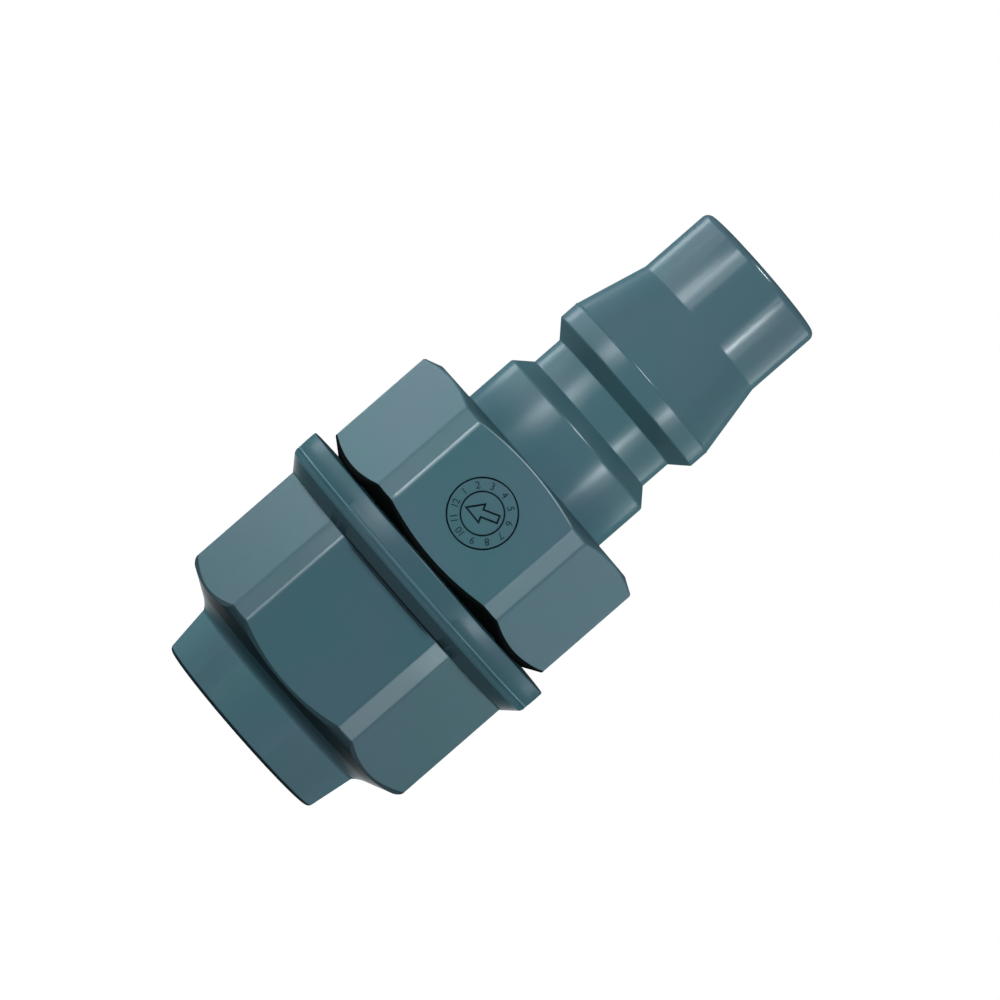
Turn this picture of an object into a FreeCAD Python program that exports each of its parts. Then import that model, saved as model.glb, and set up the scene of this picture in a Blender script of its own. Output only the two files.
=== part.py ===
"""Male plug of a plastic quick coupling with a flanged hexagon nut that clamps the hose.

Millimetres. The axis of the plug is +Z. The origin is the centre of the nut's hose
end, on which the part stands, and the plug's nose points up. The nut is tight.
"""
import FreeCAD, Part
import math
import os
from FreeCAD import Vector

# Hose that the fitting holds
HOSE_OUTER_D = 10.0
HOSE_CLEARANCE = 0.15

# Screw thread between nut and spigot, drawn as plain cylinders at its major diameter
THREAD_MAJOR_D = 14.0
THREAD_CLEARANCE = 0.15
THREAD_LEAD_CHAMFER = 0.8

# Both hexagons: corners are turned down to a cylinder
NUT_HEX_FLATS = 17.0
NUT_HEX_CORNER_D = 18.9
NUT_HEX_TURN = -2.4
PLUG_HEX_FLATS = 17.0
PLUG_HEX_CORNER_D = 18.9
PLUG_HEX_TURN = -0.8
HEX_CHAMFER_ANGLE = 30.0

# Clamp nut, outside
NUT_LENGTH = 15.0
COLLAR_END_D = 12.6
COLLAR_ROOT_D = 13.44
COLLAR_LENGTH = 3.05
COLLAR_EDGE_CHAMFER = 0.25
FLARE_START_ANGLE = 40.0
FLARE_ANGLE = 64.6
FLARE_START_LENGTH = 0.37
FLARE_CORNER_RADIUS = 0.75
FLANGE_D = 20.7
FLANGE_THICKNESS = 2.5
FLANGE_BEVEL = 0.9
FLANGE_EDGE_CHAMFER = 0.15

# Clamp nut, inside
HOSE_MOUTH_CHAMFER = 0.4
HOSE_PASSAGE_LENGTH = 3.5
SEAT_CONE_ANGLE = 45.0
LIP_THICKNESS = 0.4
THREAD_RUNOUT_LENGTH = 1.0
THREAD_RUNOUT_DEPTH = 0.15
THREAD_MOUTH_CHAMFER = 0.35

# Grip sleeve: a slotted ring with a bead that snaps behind the nut's lip
SLEEVE_WALL = 0.85
SLEEVE_BEAD_HEIGHT = 0.4
SLEEVE_BEAD_LENGTH = 1.5
SLEEVE_CLEARANCE = 0.15
SLEEVE_TIP_WALL = 0.3
SLEEVE_SLOT_COUNT = 6
SLEEVE_SLOT_WIDTH = 1.0
SLEEVE_RING_LENGTH = 2.0
TEETH_OFFSET = 1.85
TOOTH_COUNT = 2
TOOTH_PITCH = 1.4
TOOTH_HEIGHT = 0.2
TOOTH_BACK_LENGTH = 0.15

# Plug body, hexagon and spigot
TIGHT_GAP = 0.15
PLUG_HEX_LENGTH = 8.2
HEX_LOWER_FACE_D = 16.7
HEX_UPPER_FACE_D = 17.2
SPIGOT_LENGTH = 6.3
SPIGOT_RELIEF_LENGTH = 0.95
SPIGOT_RELIEF_D = 12.2
SPIGOT_MOUTH_WIDTH = 0.6
SPIGOT_MOUTH_ANGLE = 20.0
HOSE_POCKET_DEPTH = 10.6

# Plug body, hose stem
STEM_D = 6.6
STEM_BULGE_D = 6.9
STEM_BULGE_LENGTH = 1.2
STEM_TIP_D = 5.8
STEM_LEAD_LENGTH = 1.5
STEM_REACH = 11.25
STEM_BORE_D = 4.6

# Plug body, nose that locks in the socket
SHOULDER_D = 11.82
SHOULDER_LENGTH = 3.4
SHOULDER_EDGE_CHAMFER = 0.16
NECK_D = 9.86
NECK_LENGTH = 1.96
LAND_D = 11.84
LAND_LENGTH = 1.23
GROOVE_FLANK_ANGLE = 45.0
TAPER_LENGTH = 4.56
NOSE_D = 9.76
NOSE_LENGTH = 4.98
NOSE_EDGE_CHAMFER = 0.25
TAPER_ROUNDING = 1.5
FLOW_BORE_D = 6.5
FLOW_BORE_DEPTH = 19.5
FLOW_MOUTH_CHAMFER = 0.3
FLOW_STEP_ANGLE = 30.0

# Round recess on one flat of the plug's hexagon
RECESS_D = 4.3
RECESS_DEPTH = 0.12
RECESS_HEIGHT = 4.28

# Sizes that follow from the ones above
HOSE_PASSAGE_R = HOSE_OUTER_D / 2 + HOSE_CLEARANCE
THREAD_MAJOR_R = THREAD_MAJOR_D / 2
NUT_THREAD_R = THREAD_MAJOR_R + THREAD_CLEARANCE
FLANGE_Z = NUT_LENGTH - FLANGE_THICKNESS
HEX_BASE_Z = NUT_LENGTH + TIGHT_GAP
HEX_TOP_Z = HEX_BASE_Z + PLUG_HEX_LENGTH
SPIGOT_END_Z = HEX_BASE_Z - SPIGOT_LENGTH
STEM_TIP_Z = HEX_BASE_Z - STEM_REACH
POCKET_FLOOR_Z = SPIGOT_END_Z + HOSE_POCKET_DEPTH
SHOULDER_TOP_Z = HEX_TOP_Z + SHOULDER_LENGTH
GROOVE_TANGENT = math.tan(math.radians(GROOVE_FLANK_ANGLE))
NECK_START_Z = SHOULDER_TOP_Z + (SHOULDER_D - NECK_D) / 2 / GROOVE_TANGENT
NECK_END_Z = NECK_START_Z + NECK_LENGTH
LAND_START_Z = NECK_END_Z + (LAND_D - NECK_D) / 2 / GROOVE_TANGENT
LAND_END_Z = LAND_START_Z + LAND_LENGTH
NOSE_START_Z = LAND_END_Z + TAPER_LENGTH
NOSE_TIP_Z = NOSE_START_Z + NOSE_LENGTH
FLOW_STEP_Z = NOSE_TIP_Z - FLOW_BORE_DEPTH
FLOW_CONE_LENGTH = (FLOW_BORE_D - STEM_BORE_D) / 2 / math.tan(math.radians(FLOW_STEP_ANGLE))
SPIGOT_MOUTH_R = HOSE_PASSAGE_R + SPIGOT_MOUTH_WIDTH
SLEEVE_BODY_R = HOSE_PASSAGE_R + SLEEVE_WALL
BEAD_R = SLEEVE_BODY_R + SLEEVE_BEAD_HEIGHT
BEAD_GROOVE_R = BEAD_R + SLEEVE_CLEARANCE
SEAT_TANGENT = math.tan(math.radians(SEAT_CONE_ANGLE))
SEAT_END_Z = HOSE_PASSAGE_LENGTH + (BEAD_GROOVE_R - HOSE_PASSAGE_R) / SEAT_TANGENT
LIP_R = SLEEVE_BODY_R + SLEEVE_CLEARANCE
LIP_START_Z = SEAT_END_Z + SLEEVE_BEAD_LENGTH + SLEEVE_CLEARANCE
LIP_END_Z = LIP_START_Z + LIP_THICKNESS
RUNOUT_R = NUT_THREAD_R + THREAD_RUNOUT_DEPTH
RUNOUT_END_Z = LIP_END_Z + THREAD_RUNOUT_LENGTH

# Cuts run this far past the faces that they open, and fused forms sink in as far
PASS = 1.0
SINK = 0.1
AXIS = Vector(0, 0, 1)
ORIGIN = Vector(0, 0, 0)


def outline(corners):
    """Closed wire in the XZ plane through corners given as (radius, height, rounding)."""
    points = [Vector(r, 0, z) for r, z, _ in corners]
    edges = []
    starts = []
    ends = []
    arcs = []
    for i, here in enumerate(points):
        to_before = (points[i - 1] - here).normalize()
        to_after = (points[(i + 1) % len(points)] - here).normalize()
        rounding = corners[i][2]
        half = to_before.getAngle(to_after) / 2
        reach = rounding / math.tan(half)
        starts.append(here + to_before * reach)
        ends.append(here + to_after * reach)
        crown = here
        if rounding > 0:
            crown = here + (to_before + to_after).normalize() * (rounding / math.sin(half) - rounding)
        arcs.append(crown)
    for i, crown in enumerate(arcs):
        if corners[i][2] > 0:
            edges.append(Part.Arc(starts[i], crown, ends[i]).toShape())
        following = starts[(i + 1) % len(points)]
        if ends[i].distanceToPoint(following) > Part.Precision.approximation():
            edges.append(Part.LineSegment(ends[i], following).toShape())
    return Part.Wire(edges)


def turned(corners):
    """Solid of revolution about the plug's axis."""
    return Part.Face(outline(corners)).revolve(ORIGIN, AXIS, 360)


def hexagon_bar(across_flats, turn, z_low, z_high):
    """Hexagon prism with one flat facing -Y before it is turned."""
    corner_r = across_flats / 2 / math.cos(math.radians(30))
    corners = []
    for k in range(6):
        angle = math.radians(60 * k + turn)
        corners.append(Vector(corner_r * math.cos(angle), corner_r * math.sin(angle), z_low))
    corners.append(corners[0])
    return Part.Face(Part.makePolygon(corners)).extrude(Vector(0, 0, z_high - z_low))


def nut_outside():
    """Collar for the hose, hexagon with a flared shoulder, and the flange at the plug's side."""
    collar_root_r = COLLAR_ROOT_D / 2
    corner_r = NUT_HEX_CORNER_D / 2
    start = math.radians(FLARE_START_ANGLE)
    flare = math.radians(FLARE_ANGLE)
    bend_r = collar_root_r + FLARE_START_LENGTH * math.tan(start)
    bend_z = COLLAR_LENGTH + FLARE_START_LENGTH
    corner_z = bend_z + (corner_r - bend_r) / math.tan(flare)
    bar = turned([
        (0, 0, 0),
        (COLLAR_END_D / 2 - COLLAR_EDGE_CHAMFER, 0, 0),
        (COLLAR_END_D / 2, COLLAR_EDGE_CHAMFER, 0),
        (collar_root_r, COLLAR_LENGTH, 0),
        (bend_r, bend_z, 0),
        (corner_r, corner_z, FLARE_CORNER_RADIUS),
        (corner_r, NUT_LENGTH - FLANGE_EDGE_CHAMFER, 0),
        (0, NUT_LENGTH - FLANGE_EDGE_CHAMFER, 0),
    ])
    hexagon = bar.common(hexagon_bar(NUT_HEX_FLATS, NUT_HEX_TURN, -PASS, NUT_LENGTH))
    rim_r = FLANGE_D / 2
    flange = turned([
        (0, FLANGE_Z, 0),
        (rim_r - FLANGE_BEVEL, FLANGE_Z, 0),
        (rim_r, FLANGE_Z + FLANGE_BEVEL, 0),
        (rim_r, NUT_LENGTH - FLANGE_EDGE_CHAMFER, 0),
        (rim_r - FLANGE_EDGE_CHAMFER, NUT_LENGTH, 0),
        (0, NUT_LENGTH, 0),
    ])
    return hexagon.fuse(flange).removeSplitter()


def nut_hollow():
    """Hose passage, cone seat and groove for the sleeve, lip, runout, and the bore for the thread."""
    chamfer = THREAD_MOUTH_CHAMFER
    return turned([
        (0, -PASS, 0),
        (HOSE_PASSAGE_R + HOSE_MOUTH_CHAMFER + PASS, -PASS, 0),
        (HOSE_PASSAGE_R, HOSE_MOUTH_CHAMFER, 0),
        (HOSE_PASSAGE_R, HOSE_PASSAGE_LENGTH, 0),
        (BEAD_GROOVE_R, SEAT_END_Z, 0),
        (BEAD_GROOVE_R, LIP_START_Z, 0),
        (LIP_R, LIP_START_Z, 0),
        (LIP_R, LIP_END_Z, 0),
        (RUNOUT_R, LIP_END_Z, 0),
        (RUNOUT_R, RUNOUT_END_Z, 0),
        (NUT_THREAD_R, RUNOUT_END_Z + THREAD_RUNOUT_DEPTH, 0),
        (NUT_THREAD_R, NUT_LENGTH - chamfer, 0),
        (NUT_THREAD_R + chamfer + PASS, NUT_LENGTH + PASS, 0),
        (0, NUT_LENGTH + PASS, 0),
    ])


def clamp_nut():
    """Flanged hexagon nut that presses the sleeve on the hose."""
    return nut_outside().cut(nut_hollow())


def sleeve_ring():
    """Ring of the sleeve before it is slotted: bead, body, cone tip and gripping teeth."""
    bore_r = HOSE_PASSAGE_R
    seat_shift = SLEEVE_CLEARANCE / math.sin(math.radians(SEAT_CONE_ANGLE))
    tip_r = bore_r + SLEEVE_TIP_WALL
    back_z = HOSE_PASSAGE_LENGTH + (tip_r - bore_r) / SEAT_TANGENT + seat_shift
    bead_z = HOSE_PASSAGE_LENGTH + (BEAD_R - bore_r) / SEAT_TANGENT + seat_shift
    bead_end_z = LIP_START_Z - SLEEVE_CLEARANCE
    mouth_tangent = math.tan(math.radians(SPIGOT_MOUTH_ANGLE))
    mouth_shift = SLEEVE_CLEARANCE / math.sin(math.radians(SPIGOT_MOUTH_ANGLE))
    mouth_z = SPIGOT_END_Z - mouth_shift
    tip_z = mouth_z + (SPIGOT_MOUTH_R - tip_r) / mouth_tangent
    cone_z = mouth_z - (SLEEVE_BODY_R - SPIGOT_MOUTH_R) / mouth_tangent
    corners = [
        (tip_r, back_z, 0),
        (BEAD_R, bead_z, 0),
        (BEAD_R, bead_end_z, 0),
        (SLEEVE_BODY_R, bead_end_z, 0),
        (SLEEVE_BODY_R, cone_z, 0),
        (tip_r, tip_z, 0),
        (bore_r, tip_z, 0),
    ]
    for k in reversed(range(TOOTH_COUNT)):
        tooth_z = back_z + TEETH_OFFSET + k * TOOTH_PITCH
        corners.append((bore_r, tooth_z + TOOTH_PITCH - TOOTH_BACK_LENGTH, 0))
        corners.append((bore_r - TOOTH_HEIGHT, tooth_z + TOOTH_BACK_LENGTH, 0))
        corners.append((bore_r, tooth_z, 0))
    corners.append((bore_r, back_z, 0))
    return turned(corners)


def grip_sleeve():
    """Sleeve with slots that let its fingers close on the hose."""
    ring = sleeve_ring()
    corner = Vector(0, -SLEEVE_SLOT_WIDTH / 2, ring.BoundBox.ZMin + SLEEVE_RING_LENGTH)
    for k in range(SLEEVE_SLOT_COUNT):
        slot = Part.makeBox(BEAD_R, SLEEVE_SLOT_WIDTH, NUT_LENGTH, corner)
        slot.rotate(ORIGIN, AXIS, 360 * k / SLEEVE_SLOT_COUNT)
        ring = ring.cut(slot)
    return ring


def plug_hexagon():
    """Hexagon for the spanner, chamfered at both ends."""
    corner_r = PLUG_HEX_CORNER_D / 2
    lower_r = HEX_LOWER_FACE_D / 2
    upper_r = HEX_UPPER_FACE_D / 2
    slope = math.tan(math.radians(HEX_CHAMFER_ANGLE))
    bar = turned([
        (0, HEX_BASE_Z, 0),
        (lower_r, HEX_BASE_Z, 0),
        (corner_r, HEX_BASE_Z + (corner_r - lower_r) * slope, 0),
        (corner_r, HEX_TOP_Z - (corner_r - upper_r) * slope, 0),
        (upper_r, HEX_TOP_Z, 0),
        (0, HEX_TOP_Z, 0),
    ])
    return bar.common(hexagon_bar(PLUG_HEX_FLATS, PLUG_HEX_TURN, HEX_BASE_Z - PASS, HEX_TOP_Z + PASS))


def plug_nose():
    """Shoulder, locking groove, land, taper and nose, as the socket needs them."""
    flank = math.radians(GROOVE_FLANK_ANGLE)
    edge_r = SHOULDER_D / 2 - SHOULDER_EDGE_CHAMFER * math.sin(flank)
    edge_z = SHOULDER_TOP_Z + SHOULDER_EDGE_CHAMFER * math.cos(flank)
    return turned([
        (0, HEX_TOP_Z - SINK, 0),
        (SHOULDER_D / 2, HEX_TOP_Z - SINK, 0),
        (SHOULDER_D / 2, SHOULDER_TOP_Z - SHOULDER_EDGE_CHAMFER, 0),
        (edge_r, edge_z, 0),
        (NECK_D / 2, NECK_START_Z, 0),
        (NECK_D / 2, NECK_END_Z, 0),
        (LAND_D / 2, LAND_START_Z, 0),
        (LAND_D / 2, LAND_END_Z, 0),
        (NOSE_D / 2, NOSE_START_Z, TAPER_ROUNDING),
        (NOSE_D / 2, NOSE_TIP_Z - NOSE_EDGE_CHAMFER, 0),
        (NOSE_D / 2 - NOSE_EDGE_CHAMFER, NOSE_TIP_Z, 0),
        (0, NOSE_TIP_Z, 0),
    ])


def plug_spigot():
    """Spigot for the nut's thread, with a relief groove under the hexagon."""
    relief_r = SPIGOT_RELIEF_D / 2
    relief_z = HEX_BASE_Z - SPIGOT_RELIEF_LENGTH
    chamfer_r = THREAD_MAJOR_R - THREAD_LEAD_CHAMFER
    return turned([
        (0, SPIGOT_END_Z, 0),
        (chamfer_r, SPIGOT_END_Z, 0),
        (THREAD_MAJOR_R, SPIGOT_END_Z + THREAD_LEAD_CHAMFER, 0),
        (THREAD_MAJOR_R, relief_z - (THREAD_MAJOR_R - relief_r), 0),
        (relief_r, relief_z, 0),
        (relief_r, HEX_BASE_Z + SINK, 0),
        (0, HEX_BASE_Z + SINK, 0),
    ])


def hose_pocket():
    """Ring-shaped space round the stem that takes the hose end, with a cone mouth for the sleeve."""
    mouth_tangent = math.tan(math.radians(SPIGOT_MOUTH_ANGLE))
    mouth_length = SPIGOT_MOUTH_WIDTH / mouth_tangent
    return turned([
        (STEM_D / 2, SPIGOT_END_Z - PASS, 0),
        (SPIGOT_MOUTH_R + PASS * mouth_tangent, SPIGOT_END_Z - PASS, 0),
        (HOSE_PASSAGE_R, SPIGOT_END_Z + mouth_length, 0),
        (HOSE_PASSAGE_R, POCKET_FLOOR_Z, 0),
        (STEM_D / 2, POCKET_FLOOR_Z, 0),
    ])


def hose_stem():
    """Stem that the hose is pushed over, with a slight bulge behind its lead-in cone."""
    lead_z = STEM_TIP_Z + STEM_LEAD_LENGTH
    bulge_z = lead_z + STEM_BULGE_LENGTH
    return turned([
        (0, STEM_TIP_Z, 0),
        (STEM_TIP_D / 2, STEM_TIP_Z, 0),
        (STEM_BULGE_D / 2, lead_z, 0),
        (STEM_D / 2, bulge_z, 0),
        (STEM_D / 2, POCKET_FLOOR_Z + SINK, 0),
        (0, POCKET_FLOOR_Z + SINK, 0),
    ])


def flow_bore():
    """Air passage: wide in the nose, stepped down by a cone to the stem's bore."""
    flow_r = FLOW_BORE_D / 2
    stem_r = STEM_BORE_D / 2
    return turned([
        (0, STEM_TIP_Z - PASS, 0),
        (stem_r, STEM_TIP_Z - PASS, 0),
        (stem_r, FLOW_STEP_Z - FLOW_CONE_LENGTH, 0),
        (flow_r, FLOW_STEP_Z, 0),
        (flow_r, NOSE_TIP_Z - FLOW_MOUTH_CHAMFER, 0),
        (flow_r + FLOW_MOUTH_CHAMFER + PASS, NOSE_TIP_Z + PASS, 0),
        (0, NOSE_TIP_Z + PASS, 0),
    ])


def dial_recess():
    """Shallow round recess in the flat of the hexagon that faces -Y."""
    flat_r = PLUG_HEX_FLATS / 2
    centre = Vector(0, -(flat_r - RECESS_DEPTH), HEX_BASE_Z + RECESS_HEIGHT)
    recess = Part.makeCylinder(RECESS_D / 2, RECESS_DEPTH + PASS, centre, Vector(0, -1, 0))
    recess.rotate(ORIGIN, AXIS, PLUG_HEX_TURN)
    return recess


def plug_body():
    """One moulding: nose, hexagon, spigot and hose stem."""
    body = plug_hexagon().fuse([plug_nose(), plug_spigot()])
    body = body.cut(hose_pocket()).fuse(hose_stem())
    return body.cut(flow_bore()).cut(dial_recess()).removeSplitter()


def write(name, shape):
    """Write one node as a STEP file and say what is in it."""
    solid = shape.Solids[0]
    print(name, "valid", solid.isValid(), "solids", len(shape.Solids), "volume", round(solid.Volume, 2))
    solid.exportStep("parts/" + name + ".step")


os.makedirs("parts", exist_ok=True)
write("plug_body", plug_body())
write("clamp_nut", clamp_nut())
write("grip_sleeve", grip_sleeve())
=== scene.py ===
"""Plastic coupling plug and its clamp nut, dressed for a studio photograph.

Outlines and sizes are in millimetres and degrees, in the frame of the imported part: the axis of the plug is
+Z and the hose end of the nut stands on the floor. Every piece is scaled to metres when it is finished.
"""
import math

import bmesh
import bpy
from mathutils import Matrix, Vector


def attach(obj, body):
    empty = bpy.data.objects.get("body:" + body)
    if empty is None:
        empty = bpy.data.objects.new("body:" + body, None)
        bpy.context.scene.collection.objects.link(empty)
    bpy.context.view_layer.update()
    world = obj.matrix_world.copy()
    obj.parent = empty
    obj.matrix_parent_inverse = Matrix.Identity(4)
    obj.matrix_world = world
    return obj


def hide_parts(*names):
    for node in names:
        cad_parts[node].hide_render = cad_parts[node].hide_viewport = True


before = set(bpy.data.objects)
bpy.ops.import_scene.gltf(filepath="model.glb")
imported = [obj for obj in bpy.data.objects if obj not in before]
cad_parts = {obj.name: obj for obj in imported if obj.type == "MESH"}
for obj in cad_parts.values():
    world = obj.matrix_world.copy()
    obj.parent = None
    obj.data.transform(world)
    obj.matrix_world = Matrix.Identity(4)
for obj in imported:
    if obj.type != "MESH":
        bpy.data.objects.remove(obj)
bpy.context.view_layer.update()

MM = 0.001
METRE = 1000

# Both hexagons: flats, corners turned down to a cylinder, and a narrow strip along each corner. FLAT_EDGE is
# the distance from a flat's middle to its long edge.
FLAT_R = 8.5
CORNER_R = 9.45
STRIP_R = 9.405
FLAT_EDGE = 4.087
NUT_HEX_TURN = -2.4
PLUG_HEX_TURN = -0.8
NUT_EDGE_SOFTNESS = 0.08
PLUG_EDGE_SOFTNESS = 0.1

# Nut: collar, flare and flange
COLLAR_END_R = 6.3
COLLAR_ROOT_R = 6.72
COLLAR_TOP_Z = 3.05
FLARE_BEND_R = 7.03
FLARE_BEND_Z = 3.42
FLARE_SLOPE = 0.4748
FLARE_CORNER_Z = 4.569
FLARE_CORNER_RADIUS = 0.75
FLARE_SQUEEZE_R = 7.6
FLANGE_Z = 12.5
FLANGE_CONE_Z = 13.42
RIM_R = 10.344
PARTING_Z = 13.79
PARTING_STEP = 0.05
PARTING_STEP_ANGLES = (-124.0, -69.5)
PARTING_STEP_RAMP = 1.5
PARTING_STEP_START_R = 10.2
PARTING_STEP_REACH = 0.13
FOOT_GROOVE_Z = 12.42
FOOT_GROOVE_DEPTH = 0.12
FOOT_GROOVE_RUNOUT = 0.6
FOOT_GROOVE_REACH = 0.05
FOOT_GROOVE_START_R = 8.0
FOOT_GROOVE_FRONT_Y = -7.8
NUT_TOP_Z = 15.04

# Plug: hexagon, shoulder, locking groove, land and nose
HEX_BASE_Z = 15.13
HEX_LOW_CORNER_Z = 15.85
HEX_LOW_ROUNDING = 0.1
HEX_HIGH_CORNER_Z = 22.85
HEX_HIGH_ROUNDING = 0.2
HEX_FACE_R = 8.35
HEX_TOP_Z = 23.35
SHOULDER_R = 5.91
SHOULDER_TOP_Z = 26.75
NECK_R = 4.93
LAND_R = 5.92
NOSE_R = 4.88
NOSE_TIP_Z = 41.45

# Hose passage, stem and flow bore
HOSE_PASSAGE_R = 5.15
HOSE_POCKET_TOP_Z = 19.45
STEM_R = 3.3
STEM_BULGE_R = 3.45
STEM_TIP_Z = 3.9
STEM_BORE_R = 2.3
FLOW_BORE_R = 3.25

# Screw thread between nut and spigot
THREAD_PITCH = 1.5
THREAD_DEPTH = 0.75
THREAD_CREST = 0.25
THREAD_FLANK = 0.433
THREAD_SINK = 0.1
THREAD_END = 0.1
THREAD_START_Z = 9.55
SPIGOT_THREAD_TOP_Z = 13.3
NUT_THREAD_TOP_Z = 14.0
SPIGOT_CORE_R = 6.25
SPIGOT_MOUTH_Z = 8.85
NUT_BORE_R = 7.15

# Round date dial in one flat of the plug's hexagon. The ring is two radii, the shaft a width and a length.
DIAL_R = 2.06
DIAL_EDGE = 0.04
DIAL_POCKET_R = 2.15
DIAL_POCKET_DEPTH = 0.32
DIAL_SINK = 0.05
DIAL_Z = 19.43
DIAL_TURN = 118.0
DIAL_RING = (1.24, 1.34)
DIAL_RING_DEPTH = 0.12
MONTHS = 12
MONTH_R = 1.66
MONTH_SIZE = 0.62
MONTH_SPACING = 0.9
MONTH_DEPTH = 0.1
MONTH_CURVE_STEPS = 3
ARROW_SHAFT = (0.34, 1.25)
ARROW_SHAFT_Y = -0.32
ARROW_HEAD_R = 0.55
ARROW_HEAD_Y = 0.36
ARROW_HEIGHT = 0.18
ARROW_MOAT = 0.11
ARROW_MOAT_DEPTH = 0.16
CUTTER_RISE = 0.1

# Fineness of the meshes. Columns of a sixth of a turn, as (from, to, count): few on the flats, many where a
# flat meets a corner strip.
COLUMN_ANGLES = ((0.0, 2.6, 3), (2.6, 6.0, 18), (6.0, 30.0, 15))
ARC_STEPS = 5
THREAD_STEPS = 96
THREAD_RUNOUT_STEPS = 30
DIAL_STEPS = 128
DIAL_EDGE_STEPS = 3
DIAL_RING_STEPS = 96
SAME_POINT = 0.0005
SLACK = 0.01
MOULDING_SHARP_ANGLE = 40.0
DIAL_SHARP_ANGLE = 30.0


# Modelling helpers

def clamp(value):
    """The value, kept between 0 and 1."""
    return min(max(value, 0.0), 1.0)


def column_angles():
    """Angles of the columns in one sixth of a turn, from one corner of the hexagon to the next."""
    half = []
    for low, high, count in COLUMN_ANGLES:
        half += [low + (high - low) * k / count for k in range(count)]
    return half + [60 - angle for angle in [30.0] + half[:0:-1]]


def outline(bm, corners):
    """Closed wire through corners (radius, height, rounding), with each rounding made by a bevel."""
    verts = [bm.verts.new((r, 0, z)) for r, z, _ in corners]
    for here, after in zip(verts, verts[1:] + verts[:1]):
        bm.edges.new((here, after))
    for k, (r, z, rounding) in enumerate(corners):
        if rounding:
            here = Vector((r, z))
            before = Vector(corners[k - 1][:2]) - here
            after = Vector(corners[(k + 1) % len(corners)][:2]) - here
            reach = rounding / math.tan(before.angle(after) / 2)
            bmesh.ops.bevel(bm, geom=[verts[k]], offset=reach, offset_type="OFFSET", segments=ARC_STEPS,
                            profile=0.5, affect="VERTICES", material=-1)


def turned(bm, turn):
    """Spins the wire in bm once round the Z axis, in columns that gather at the corners of a hexagon."""
    angles = column_angles()
    wire = list(bm.verts) + list(bm.edges)
    bmesh.ops.spin(bm, geom=wire, cent=(0, 0, 0), axis=(0, 0, 1), angle=math.radians(60), steps=len(angles))
    for vert in bm.verts:
        flat = Vector((vert.co.x, vert.co.y))
        step = round(math.degrees(math.atan2(flat.y, flat.x)) / 60 * len(angles))
        angle = math.radians((angles + [60.0])[step] + turn)
        vert.co.x = flat.length * math.cos(angle)
        vert.co.y = flat.length * math.sin(angle)
    sixth = list(bm.verts) + list(bm.edges) + list(bm.faces)
    bmesh.ops.spin(bm, geom=sixth, cent=(0, 0, 0), axis=(0, 0, 1), angle=math.radians(300), steps=5,
                   use_duplicate=True)
    bmesh.ops.remove_doubles(bm, verts=bm.verts, dist=SAME_POINT)


def soft_min(a, b, softness):
    """The smaller of two lengths, rounded over where they are about the same."""
    share = clamp(0.5 + 0.5 * (b - a) / softness)
    return b + (a - b) * share - softness * share * (1 - share)


class HexEnd:
    """End of a hexagon bar, turned down by a cone that rounds into the bar's sides.

    With on_flats the rounding runs along the ends of the flats too. Without it, cone and rounding stay one
    turned surface, which the flats cut.
    """

    def __init__(self, face_r, face_z, corner_z, radius, on_flats=False):
        self.face_r = face_r
        self.face_z = face_z
        self.corner_z = corner_z
        self.slope = (corner_z - face_z) / (CORNER_R - face_r)
        self.radius = radius
        self.on_flats = on_flats
        lean = math.atan(abs(self.slope))
        self.reach = radius * math.tan((math.pi / 2 - lean) / 2)
        self.tangent_r = CORNER_R - self.reach * math.cos(lean)
        self.way = 1 if self.slope > 0 else -1

    def height(self, r):
        """Height of the turned end at radius r."""
        if r <= self.tangent_r or self.radius == 0:
            return self.face_z + (r - self.face_r) * self.slope
        centre_z = self.corner_z + self.way * self.reach
        across = r - (CORNER_R - self.radius)
        return centre_z - self.way * math.sqrt(max(self.radius ** 2 - across ** 2, 0.0))

    def drop(self, bar_r):
        """How far the end of the bar's side moves along the axis where the bar is only bar_r thick."""
        if self.on_flats:
            return (bar_r - CORNER_R) * self.slope
        return self.height(bar_r) - self.height(CORNER_R)

    def pressed(self, r, z, bar_r):
        """New radius and height of a point of the turned end where the bar is only bar_r thick."""
        if self.on_flats and r > self.tangent_r - SAME_POINT:
            return r + bar_r - CORNER_R, z + self.drop(bar_r)
        if self.on_flats:
            thin_r = self.tangent_r + bar_r - CORNER_R
            new_r = self.face_r + (r - self.face_r) * (thin_r - self.face_r) / (self.tangent_r - self.face_r)
        else:
            new_r = self.face_r + (r - self.face_r) * (bar_r - self.face_r) / (CORNER_R - self.face_r)
        return new_r, self.height(new_r)


def press_flats(bm, turn, low, high, above_r, softness):
    """Moves the turned faces between two ends in to the flats of a hexagon."""
    low_z = low.height(CORNER_R)
    high_z = high.height(CORNER_R)
    for vert in bm.verts:
        r = math.hypot(vert.co.x, vert.co.y)
        z = vert.co.z
        if r < above_r or z < low.face_z - SLACK or z > high.face_z + SLACK:
            continue
        angle = math.atan2(vert.co.y, vert.co.x)
        off_flat = (math.degrees(angle) - turn) % 60 - 30
        off_corner = 30 - abs(off_flat)
        strip_r = STRIP_R / math.cos(math.radians(off_corner))
        bar_r = min(soft_min(FLAT_R / math.cos(math.radians(off_flat)), strip_r, softness), CORNER_R)
        if r > CORNER_R - SAME_POINT:
            share = (z - low_z) / (high_z - low_z)
            z += low.drop(bar_r) * (1 - share) + high.drop(bar_r) * share
            new_r = bar_r
        else:
            end = low if z < (low_z + high_z) / 2 else high
            new_r, z = end.pressed(r, z, bar_r)
        vert.co = (new_r * math.cos(angle), new_r * math.sin(angle), z)


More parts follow.
